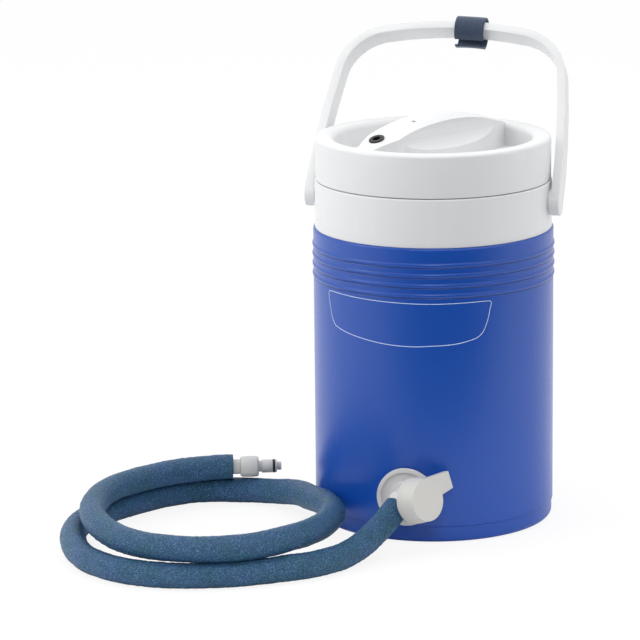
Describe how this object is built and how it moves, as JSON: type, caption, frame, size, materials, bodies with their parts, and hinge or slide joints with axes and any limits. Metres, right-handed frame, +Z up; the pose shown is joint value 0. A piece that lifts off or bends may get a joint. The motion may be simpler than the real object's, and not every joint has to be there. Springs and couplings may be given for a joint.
{
  "type": "hot cold therapy machine",
  "caption": "Blue insulated jug with a white screw lid holding an air pump, a swinging bail, a lever valve low on its side and a foam-sleeved hose that ends in a quick coupling.",
  "frame": {"origin": "centre of the base, on the plane it stands on", "axes": "+Z up along the jug; the outlet valve faces -Y; +X runs along the bail's pivots, towards the side where the valve's knob points"},
  "size_m": [0.3431, 0.3394, 0.3632],
  "materials": {
    "shell_blue": "satin moulded plastic",
    "white_plastic": "satin moulded plastic",
    "insulation": "closed-cell foam",
    "valve_white": "moulded plastic",
    "valve_grey": "moulded plastic",
    "black_plastic": "moulded plastic",
    "black_rubber": "soft rubber",
    "navy_fabric": "woven hook-and-loop tape",
    "steel": "zinc-plated",
    "board_green": "solder mask",
    "clear_tube": "soft tube",
    "lamp_lens": "unlit lens",
    "hose_foam": "speckled foam sleeve"
  },
  "bodies": {
    "jug": {"outer_shell": "shell_blue", "foam_insulation": "insulation", "liner": "white_plastic", "collar": "white_plastic", "spigot_flange": "valve_white", "spigot_gasket": "black_rubber", "valve_body": "valve_white", "inner_washer": "black_rubber", "spigot_nut": "valve_white", "hose": "hose_foam", "tube_end": "valve_grey", "coupling_body": "valve_grey", "coupling_grip": "valve_grey", "coupling_o_ring": "black_rubber"},
    "valve_turner": {"valve_plug": "valve_grey", "plug_seal": "black_rubber", "valve_knob": "valve_grey"},
    "bail": {"bail_handle": "white_plastic", "handle_strap": "navy_fabric"},
    "lid_lift": {"lid_gasket": "black_rubber"},
    "lid": {"lid_top": "white_plastic", "lid_base": "white_plastic", "lid_foam": "insulation", "lid_screws": "steel", "pump_cradle": "black_plastic", "pump_motor": "steel", "pump_head": "black_plastic", "release_valve": "valve_grey", "control_board": "board_green", "air_tube": "clear_tube", "air_port": "valve_grey", "dc_jack": "black_plastic", "jack_nut": "steel", "status_lamp": "lamp_lens"},
    "crank": {"motor_shaft": "steel", "pump_crank": "valve_grey"},
    "poppet": {"coupling_poppet": "valve_grey", "coupling_spring": "steel"}
  },
  "joints": [
    {"name": "bail_swing", "type": "hinge", "parent": "jug", "child": "bail", "pos_m": [0, 0, 0.24], "axis": [1, 0, 0], "range_deg": [-96, 170]},
    {"name": "lid_rise", "type": "slide", "parent": "jug", "child": "lid_lift", "axis": [0, 0, 1], "range_m": [0, 0.03]},
    {"name": "lid_turn", "type": "hinge", "parent": "lid_lift", "child": "lid", "pos_m": [0, 0, 0.27], "axis": [0, 0, 1], "range_deg": [0, 450]},
    {"name": "valve_turn", "type": "hinge", "parent": "jug", "child": "valve_turner", "pos_m": [0, -0.1025, 0.0353], "axis": [0.8295, -0.5183, 0.2079], "range_deg": [0, 90]},
    {"name": "pump_spin", "type": "hinge", "parent": "lid", "child": "crank", "pos_m": [0, 0, 0.2711], "axis": [0.4695, 0.8829, 0], "continuous": true},
    {"name": "poppet_press", "type": "slide", "parent": "jug", "child": "poppet", "axis": [-0.9511, -0.309, 0], "range_m": [0, 0.003], "stiffness_N_per_m": 400, "springref_m": -0.003}
  ],
  "couplings": [
    {"joint": "lid_rise", "follows": "lid_turn", "m_per_rad": 0.0038197}
  ]
}
